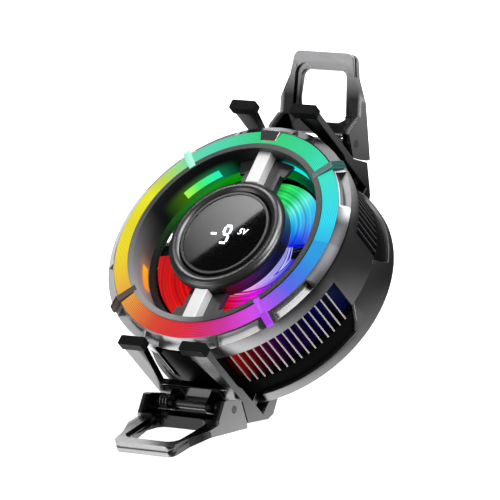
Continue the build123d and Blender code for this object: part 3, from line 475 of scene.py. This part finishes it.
def glow(name, strength, colours=None, rough=0.45, gloss=0.08):
    finish, tree, shader = new_finish(name)
    shader.inputs["Base Color"].default_value = (0.02, 0.02, 0.02, 1)
    shader.inputs["Roughness"].default_value = rough
    shader.inputs["Specular IOR Level"].default_value = gloss
    shader.inputs["Emission Strength"].default_value = strength
    around = effect(tree, hue)
    lines = effect(
        tree, rings, Radius=around["Radius"], Angle=around["Angle"], Pitch=ring_pitch, Patches=ring_patches
    )
    relief(tree, shader, lines["Wave"], line_relief, line_depth)
    if colours:
        lit = ramp(tree, around["Angle"], colours)
    else:
        line_power = fade(tree, lines["Wave"], -1, 1, line_dim, line_bright)
        lit = vector_step(tree, "SCALE", around["Color"], line_power)
    feed(tree, lit, shader.inputs["Emission Color"])
    return finish


dress("glow_ring", glow("ring_glow", 1.0))

# Bridging blocks: four clear moulded bars pressed in across the ring. Each glows with painted
# light in the colour of the ring beside it, bright in some blocks and dim in others.
block_light_colours = {
    0: (20, 90, 90),
    90: (20, 90, 80),
    120: (150, 250, 225),
    150: (170, 245, 215),
    215: (60, 30, 8),
    235: (40, 18, 4),
    300: (190, 60, 240),
    330: (170, 50, 240),
}
block_edge = 0.00015
dress("bridge_blocks", glow("block_glow", 0.9, block_light_colours, rough=0.15, gloss=0.5), block_edge)

# Top tab: a bright grey metal-look wedge, clipped over the joint of the ring under the
# upper clamp.
tab_edge = 0.00025
tab_steel = skin("tab_steel", (0.45, 0.45, 0.455), (0.55, 0.55, 0.56), 0.2, 0.3, metal=1.0)
dress("top_tab", tab_steel, tab_edge)

# Front cover: moulded in the same smoky gloss as the rear one. Its tone round the housing is painted
# light: painted highlights at the lower left and in the pockets beside the blocks, painted shade under the
# lower clamp and along the right side.
cover_painted_light = {
    0: (60, 60, 62),
    12: (60, 60, 62),
    18: (140, 140, 142),
    38: (140, 140, 142),
    44: (110, 110, 112),
    120: (90, 90, 92),
    180: (170, 170, 172),
    225: (190, 190, 192),
    250: (170, 170, 172),
    290: (170, 170, 172),
    315: (140, 140, 142),
    335: (100, 100, 102),
    345: (70, 70, 72),
}
# Red marks the pockets' painted highlight, green the painted shade under the clamp and blue the painted grey
# highlight low on the right side.
cover_marks = {
    0: (0, 0, 255),
    8: (0, 0, 255),
    24: (0, 0, 0),
    252: (0, 0, 0),
    256: (0, 255, 0),
    284: (0, 255, 0),
    288: (0, 0, 0),
    291.5: (0, 0, 0),
    292: (255, 0, 0),
    310: (255, 0, 0),
    310.5: (0, 0, 0),
    319.5: (0, 0, 0),
    320: (255, 0, 0),
    337: (255, 0, 60),
    337.5: (0, 0, 60),
    350: (0, 0, 255),
}
pocket_top = 0.02725
pocket_full_top = 0.0271
pocket_foot = 0.0264
pocket_full_foot = 0.0265
pocket_wall = 0.03485
pocket_full_wall = 0.0348
side_top = 0.0268
side_full = 0.026
cover_grey, cover_tree, cover_shader, _ = grained("cover_grey", 0.26, 0.34, metal=1.0)
cover_around = effect(cover_tree, hue)
cover_axes = object_axes(cover_tree)
cover_spots = cover_tree.nodes.new("ShaderNodeSeparateColor")
feed(cover_tree, ramp(cover_tree, cover_around["Angle"], cover_marks), cover_spots.inputs["Color"])
pocket_highlight = cover_spots.outputs["Red"]
for limit in (
    fade(cover_tree, cover_axes["Z"], pocket_top, pocket_full_top),
    fade(cover_tree, cover_axes["Z"], pocket_foot, pocket_full_foot),
    fade(cover_tree, cover_around["Radius"], pocket_wall, pocket_full_wall),
):
    pocket_highlight = reckon(cover_tree, "MULTIPLY", pocket_highlight, limit)
cover_side = fade(cover_tree, cover_axes["Z"], side_top, side_full)
shade = reckon(cover_tree, "MULTIPLY", cover_spots.outputs["Green"], cover_side)
right_side_highlight = reckon(cover_tree, "MULTIPLY", cover_spots.outputs["Blue"], cover_side)
# Painted light by angle, then the painted pocket highlights, the painted clamp shade and the painted
# right-side highlight.
cover_lit_tone = ramp(cover_tree, cover_around["Angle"], cover_painted_light)
cover_lit_tone = mixed(cover_tree, pocket_highlight, cover_lit_tone, (0.7, 0.7, 0.7))
cover_lit_tone = mixed(cover_tree, shade, cover_lit_tone, (0.01, 0.01, 0.01))
cover_lit_tone = mixed(cover_tree, right_side_highlight, cover_lit_tone, (0.32, 0.32, 0.325))
feed(cover_tree, cover_lit_tone, cover_shader.inputs["Base Color"])
feed(cover_tree, reckon(cover_tree, "SUBTRACT", 1, pocket_highlight), cover_shader.inputs["Metallic"])
dress("front_cover", cover_grey, shell_edge)

# Boards and lamps: green circuit boards under the ring and behind the power inlet, with
# white lamps soldered on. The display's board is matt black, so that it stays unseen.
board_green = skin("board_green", (0.01, 0.08, 0.03), (0.015, 0.12, 0.045), 0.3, 0.5)
lamp_white = skin("lamp_white", (0.8, 0.8, 0.75), (0.9, 0.9, 0.86), 0.3, 0.4)
dress("led_board", board_green)
dress("led_chips", lamp_white)
dress("port_board", board_green)
board_dark = skin("board_dark", (0.002, 0.002, 0.002), (0.004, 0.004, 0.004), 0.9, 1.0, gloss=0)
dress("display_board", board_dark)

# Bore liner: the polished black wall of the air intake with its grey lip, moulded in one.
# Its tone round the bore is a painted highlight, lighter grey on the side that faces the lights.
# Below the lip it catches the light of the windows and of the fan.
liner_painted_sheen = {
    0: (30, 30, 32),
    60: (60, 60, 62),
    90: (40, 40, 42),
    110: (24, 24, 26),
    168: (30, 30, 32),
    196: (100, 100, 102),
    225: (140, 140, 142),
    262: (130, 130, 132),
    285: (50, 50, 52),
    330: (30, 30, 32),
}
spill_colours = {
    0: (0, 0, 0),
    30: (0, 60, 60),
    48: (0, 120, 110),
    64: (0, 50, 40),
    80: (0, 0, 0),
    112: (0, 20, 10),
    124: (20, 130, 90),
    148: (70, 120, 20),
    164: (0, 20, 0),
    180: (0, 0, 0),
    192: (60, 25, 0),
    200: (150, 80, 0),
    214: (150, 70, 0),
    228: (40, 12, 0),
    250: (0, 0, 0),
}
spill_top = 0.0275
spill_full = 0.0245
lip_edge = 0.0001
liner_black, liner_tree, liner_shader, _ = grained("liner_black", 0.25, 0.35)
liner_angle = effect(liner_tree, hue)["Angle"]
feed(liner_tree, ramp(liner_tree, liner_angle, liner_painted_sheen), liner_shader.inputs["Base Color"])
spill_fall = fade(liner_tree, object_axes(liner_tree)["Z"], spill_top, spill_full, way="SMOOTHSTEP")
spill = vector_step(liner_tree, "SCALE", ramp(liner_tree, liner_angle, spill_colours), spill_fall)
feed(liner_tree, spill, liner_shader.inputs["Emission Color"])
liner_shader.inputs["Emission Strength"].default_value = 0.7
dress("bore_liner", liner_black, lip_edge)

# Light windows and the lower light ring: clear moulded strips let into the wall of the
# intake and round its foot. They glow in the fan's light.
window_colours = {
    0: (20, 225, 235),
    80: (20, 235, 225),
    124: (20, 245, 190),
    138: (70, 240, 110),
    148: (170, 250, 70),
    199: (255, 175, 0),
    220: (255, 130, 0),
    300: (220, 40, 200),
}
guide_colours = {
    0: (0, 40, 60),
    30: (0, 60, 60),
    60: (0, 90, 60),
    100: (0, 200, 0),
    130: (0, 190, 0),
    150: (0, 150, 10),
    172: (0, 60, 10),
    190: (5, 15, 5),
    220: (30, 10, 0),
    290: (40, 0, 40),
}
dress("light_windows", glow("window_glow", 1.0, window_colours))
dress("lower_light_ring", glow("guide_glow", 0.45, guide_colours))

# Hub frame and spokes: a dark moulded disc on two spokes, each with a bright brushed bar
# pressed into its top.
hub_edge = 0.0002
hub_dark = skin("hub_dark", (0.05, 0.05, 0.052), (0.09, 0.09, 0.092), 0.25, 0.35, metal=0.6)
dress("hub_frame", hub_dark, hub_edge)
bar_silver = skin("bar_silver", (0.7, 0.7, 0.7), (0.8, 0.8, 0.8), 0.3, 0.4, metal=0.2)
dress("spoke_trims", bar_silver, hub_edge)

# Display: a round-backed glossy bezel, a fine step ring, smoked cover glass and lit digits
# on the board below.
step_edge = 0.0001
digit_strength = 11
bezel_black = skin("bezel_black", (0.09, 0.09, 0.092), (0.12, 0.12, 0.123), 0.28, 0.36, metal=0.9, coat=0.2)
dress("display_bezel", bezel_black)
ring_dark = skin("ring_dark", (0.05, 0.05, 0.05), (0.08, 0.08, 0.08), 0.15, 0.25, metal=0.8)
dress("display_trim_ring", ring_dark, step_edge)
cover_glass, glass_tree, glass_shader = new_finish("cover_glass")
glass_shader.inputs["Transmission Weight"].default_value = 1
glass_shader.inputs["IOR"].default_value = 1.5
glass_mask = effect(glass_tree, grain, Scale=grain_scale)["Mask"]
glass_tone = mixed(glass_tree, glass_mask, (0.09, 0.09, 0.095), (0.12, 0.12, 0.125))
glass_facet = glass_tree.nodes.new("ShaderNodeNewGeometry")
feed(glass_tree, glass_tone, glass_shader.inputs["Base Color"])
feed(glass_tree, fade(glass_tree, glass_mask, 0, 1, 0.01, 0.02), glass_shader.inputs["Roughness"])
feed(glass_tree, glass_facet.outputs["True Normal"], glass_shader.inputs["Normal"])
dress("display_glass", cover_glass)
digit_light, digit_tree, digit_shader, digit_mask = grained("digit_light", 0.4, 0.5)
digit_tone = mixed(digit_tree, digit_mask, (0.92, 0.96, 1), (1, 1, 1))
feed(digit_tree, digit_tone, digit_shader.inputs["Base Color"])
feed(digit_tree, digit_tone, digit_shader.inputs["Emission Color"])
digit_shader.inputs["Emission Strength"].default_value = digit_strength
dress("display_segments", digit_light)

# Supply mark: the small "5V" lit beside the digits, a flat film of the same light on the
# same board under the glass.
mark_right = 0.0033
mark_up = 0.0004
mark_height = 0.0025
mark_slant = 0.2
mark_text = bpy.data.curves.new("supply_mark", "FONT")
mark_text.body = "5V"
mark_text.size = mark_height
mark_text.shear = mark_slant
mark_curve = bpy.data.objects.new("mark_curve", mark_text)
scene.collection.objects.link(mark_curve)
bpy.context.view_layer.update()
mark_data = bpy.data.meshes.new_from_object(mark_curve.evaluated_get(bpy.context.evaluated_depsgraph_get()))
bpy.data.objects.remove(mark_curve)
mark_data.transform(Matrix.Translation((mark_right, mark_up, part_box("display_segments")[1].z)))
mark = bpy.data.objects.new("supply_mark", mark_data)
scene.collection.objects.link(mark)
mark_data.materials.clear()
mark_data.materials.append(digit_light)
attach(mark, "housing")

# Fan: four broad moulded blades on a cup, turned with fine rings and lit from below in bands
# of colour, palest beside the cup. Its motor of steel and copper sits inside the cup.
fan_colours = {
    0: (5, 10, 225),
    10: (0, 20, 235),
    21: (5, 100, 255),
    33: (20, 170, 250),
    45: (40, 206, 255),
    57: (110, 255, 235),
    69: (45, 225, 120),
    80: (60, 240, 110),
    90: (30, 160, 60),
    96: (0, 40, 10),
    110: (0, 8, 2),
    180: (0, 10, 2),
    186: (2, 6, 2),
    190: (210, 10, 14),
    240: (225, 12, 16),
    275: (200, 8, 12),
    285: (225, 10, 30),
    293: (225, 20, 130),
    301: (235, 20, 200),
    311: (235, 20, 245),
    323: (150, 20, 250),
    337: (70, 20, 245),
    350: (20, 15, 235),
}
pale_edge = 0.015
pale_full = 0.0128
pale_share = 0.95
fan_ring_scale = 1400
streak_start = 0.4
streak_full = 0.58
wave_low = 0.35
wave_high = 0.65
wave_dim = 0.6
wave_bright = 1.3
fan_relief = 0.5
fan_depth = 0.0003
fan_glow, fan_tree, fan_shader = new_finish("fan_glow")
fan_shader.inputs["Base Color"].default_value = (0.01, 0.01, 0.012, 1)
fan_shader.inputs["Roughness"].default_value = 0.3
fan_shader.inputs["Specular IOR Level"].default_value = 0.2
fan_shader.inputs["Emission Strength"].default_value = 0.85
fan_around = effect(fan_tree, hue)
fan_tone = ramp(fan_tree, fan_around["Angle"], fan_colours)
fan_rings = fan_tree.nodes.new("ShaderNodeTexNoise")
fan_rings.noise_dimensions = "1D"
fan_rings.inputs["Scale"].default_value = fan_ring_scale
fan_rings.inputs["Detail"].default_value = 4
fan_reach = reckon(fan_tree, "ADD", fan_around["Radius"], object_axes(fan_tree)["Z"])
feed(fan_tree, fan_reach, fan_rings.inputs["W"])
fan_wave = fan_rings.outputs["Fac"]
fan_levels = fan_tree.nodes.new("ShaderNodeSeparateColor")
fan_levels.mode = "HSV"
feed(fan_tree, fan_tone, fan_levels.inputs["Color"])
pale_band = fade(fan_tree, fan_around["Radius"], pale_edge, pale_full, high=pale_share)
pale_streaks = reckon(
    fan_tree, "MULTIPLY", pale_band, fade(fan_tree, fan_wave, streak_start, streak_full)
)
pale_amount = reckon(fan_tree, "MULTIPLY", pale_streaks, fan_levels.outputs["Blue"])
fan_lit = mixed(fan_tree, pale_amount, fan_tone, (1, 0.95, 1))
fan_power = fade(fan_tree, fan_wave, wave_low, wave_high, wave_dim, wave_bright)
fan_lit = vector_step(fan_tree, "SCALE", fan_lit, fan_power)
feed(fan_tree, fan_lit, fan_shader.inputs["Emission Color"])
relief(fan_tree, fan_shader, fan_wave, fan_relief, fan_depth)
dress("impeller", fan_glow)
motor_steel = skin("motor_steel", (0.25, 0.25, 0.26), (0.35, 0.35, 0.36), 0.3, 0.45, metal=1.0)
copper = skin("copper", (0.45, 0.16, 0.06), (0.6, 0.24, 0.1), 0.3, 0.4, metal=1.0)
dress("motor_stator", motor_steel)
dress("stator_windings", copper)
dress("bearing_sleeve", copper)
dress("rotor_shaft", motor_steel)
dress("rotor_magnet", frame_black)

# Heatsink: stamped aluminium fins on a round base. Their outer edges are painted bright as a
# painted highlight, and inward of the edges the fins are painted near black as painted shade.
# The light board tints the gaps beside the lower clamp red and purple.
fin_edge_highlights = {
    0: (70, 70, 72),
    70: (60, 60, 62),
    230: (60, 60, 62),
    262: (190, 186, 182),
    345: (190, 186, 182),
    355: (80, 80, 82),
}
gap_colours = {
    0: (10, 10, 14),
    240: (0, 0, 0),
    282: (0, 0, 0),
    288: (200, 0, 0),
    296: (120, 4, 8),
    304: (90, 2, 40),
    312: (60, 10, 90),
    322: (30, 20, 110),
    334: (20, 20, 100),
    342: (25, 25, 40),
    350: (10, 10, 14),
}
fin_edge_start = 0.03372
fin_edge_full = 0.03384
gap_dim_z = 0.009
gap_bright_z = 0.018
gap_least = 0.1
fin_metal, fin_tree, fin_shader = new_finish("fin_metal")
fin_shader.inputs["Roughness"].default_value = 0.3
fin_shader.inputs["Emission Strength"].default_value = 0.45
fin_around = effect(fin_tree, hue)
# Painted highlight on the outer fin edges, brightest round 262 to 345 degrees; painted shade, near black,
# inward of them.
fin_edge = fade(fin_tree, fin_around["Radius"], fin_edge_start, fin_edge_full)
fin_lit_edge = ramp(fin_tree, fin_around["Angle"], fin_edge_highlights)
feed(fin_tree, mixed(fin_tree, fin_edge, (0.02, 0.02, 0.022), fin_lit_edge), fin_shader.inputs["Base Color"])
gap_power = reckon(
    fin_tree,
    "MULTIPLY",
    reckon(fin_tree, "SUBTRACT", 1, fin_edge),
    fade(fin_tree, object_axes(fin_tree)["Z"], gap_dim_z, gap_bright_z, gap_least),
)
gap_light = vector_step(fin_tree, "SCALE", ramp(fin_tree, fin_around["Angle"], gap_colours), gap_power)
feed(fin_tree, gap_light, fin_shader.inputs["Emission Color"])
dress("heatsink", fin_metal)

# Cold side: a soft grey pad on a lathe-turned plate, then the cell of white ceramic with
# its foam frame. The power inlet is a steel shell.
pad_grey = skin("pad_grey", (0.16, 0.17, 0.18), (0.2, 0.21, 0.22), 0.7, 0.85)
plate_metal = skin("plate_metal", (0.55, 0.56, 0.57), (0.65, 0.66, 0.67), 0.25, 0.4, metal=1.0)
cell_white = skin("cell_white", (0.75, 0.75, 0.73), (0.85, 0.85, 0.83), 0.5, 0.6)
foam_black = skin("foam_black", (0.01, 0.01, 0.01), (0.02, 0.02, 0.02), 0.9, 1.0)
dress("thermal_pad", pad_grey)
dress("cold_plate", plate_metal)
dress("peltier_ceramics", cell_white)
dress("peltier_pellets", motor_steel)
dress("insulation_frame", foam_black)
dress("usb_socket", motor_steel)

# Clamps: cast carriages and finger loops in dark gunmetal, painted lighter at their flanks and
# far ends as a painted highlight, with rubber on the finger tips and jaws, steel pins and wound wire springs.
flank_width = 0.001
end_length = 0.008
clamp_flank_x = 0.0092
clamp_end_y = 0.1
loop_flank_x = 0.0127
loop_end_y = 0.06
cast_edge = 0.0002
soft_edge = 0.0003
pad_edge = 0.0001
# Painted flank highlight: a mask that lightens each casting towards its outer flanks and far ends.
sheen_group, sheen_taken, sheen_given = new_effect("painted_flank_sheen", ["Wide", "Far"], ["Mask"])
sheen_place = sheen_group.nodes.new("ShaderNodeTexCoord")
sheen_axes = sheen_group.nodes.new("ShaderNodeSeparateXYZ")
feed(sheen_group, vector_step(sheen_group, "ABSOLUTE", sheen_place.outputs["Object"]), sheen_axes.inputs[0])
flank_start = reckon(sheen_group, "SUBTRACT", sheen_taken["Wide"], flank_width)
end_start = reckon(sheen_group, "SUBTRACT", sheen_taken["Far"], end_length)
sheen_mask = reckon(
    sheen_group,
    "MAXIMUM",
    fade(sheen_group, sheen_axes.outputs["X"], flank_start, sheen_taken["Wide"]),
    fade(sheen_group, sheen_axes.outputs["Y"], end_start, sheen_taken["Far"]),
)
feed(sheen_group, sheen_mask, sheen_given["Mask"])


def sheened_gunmetal(name, wide, far, dark, light, rough_low, rough_high):
    finish, tree, shader, _ = grained(name, rough_low, rough_high, metal=1.0)
    flank_sheen = effect(tree, sheen_group, Wide=wide, Far=far)["Mask"]
    feed(tree, mixed(tree, flank_sheen, dark, light), shader.inputs["Base Color"])
    return finish


clamp_metal = sheened_gunmetal(
    "clamp_metal", clamp_flank_x, clamp_end_y, (0.012, 0.012, 0.012), (0.16, 0.16, 0.163), 0.22, 0.3
)
loop_metal = sheened_gunmetal(
    "loop_metal", loop_flank_x, loop_end_y, (0.02, 0.02, 0.02), (0.24, 0.24, 0.244), 0.2, 0.28
)
rubber_black = skin("rubber_black", (0.003, 0.003, 0.003), (0.008, 0.008, 0.008), 0.35, 0.5, gloss=0.05)
spring_wire = skin("spring_wire", (0.05, 0.05, 0.05), (0.09, 0.09, 0.09), 0.2, 0.3, metal=0.8)
pin_steel = skin("pin_steel", (0.06, 0.06, 0.06), (0.1, 0.1, 0.1), 0.3, 0.4, metal=0.7)
for end in ("top", "bottom"):
    dress(end + "_carriage", clamp_metal, cast_edge)
    dress(end + "_finger_loop", loop_metal, soft_edge)
    dress(end + "_finger_caps", rubber_black, soft_edge)
    dress(end + "_jaw_pad", rubber_black, pad_edge)
    dress(end + "_hinge_pin", pin_steel)
    dress(end + "_loop_spring", spring_wire)

# Return springs: two wound springs of steel wire behind each clamp, pressed together between
# the clamp's slide and the rear cover as the clamp is pulled out.
spring_turns = 9
turn_steps = 14
wire_sides = 8
wire_radius = 0.00022
for end in ("top", "bottom"):
    low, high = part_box(end + "_return_springs")
    spring_radius = (high.z - low.z) / 2
    coil_length = high.y - low.y - 2 * wire_radius
    coil_bm = bmesh.new()
    bmesh.ops.create_circle(coil_bm, segments=wire_sides, radius=wire_radius)
    bmesh.ops.translate(coil_bm, verts=coil_bm.verts, vec=(spring_radius - wire_radius, 0, 0))
    bmesh.ops.spin(
        coil_bm,
        geom=coil_bm.verts[:] + coil_bm.edges[:],
        cent=(0, 0, 0),
        axis=(0, 1, 0),
        dvec=(0, coil_length / (spring_turns * turn_steps), 0),
        angle=2 * pi * spring_turns,
        steps=spring_turns * turn_steps,
    )
    bmesh.ops.holes_fill(coil_bm, edges=coil_bm.edges, sides=wire_sides)
    bmesh.ops.recalc_face_normals(coil_bm, faces=coil_bm.faces)
    start = Vector((low.x + spring_radius, low.y + wire_radius, (low.z + high.z) / 2))
    bmesh.ops.translate(coil_bm, verts=coil_bm.verts, vec=start)
    twin = bmesh.ops.duplicate(coil_bm, geom=coil_bm.verts[:] + coil_bm.edges[:] + coil_bm.faces[:])["geom"]
    twin_verts = [item for item in twin if isinstance(item, bmesh.types.BMVert)]
    bmesh.ops.translate(coil_bm, verts=twin_verts, vec=(high.x - low.x - 2 * spring_radius, 0, 0))
    for face in coil_bm.faces:
        face.smooth = True
    coils = made_piece(end + "_return_coils", coil_bm)
    coils.data.materials.append(spring_wire)
    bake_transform(coils)
    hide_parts(end + "_return_springs")
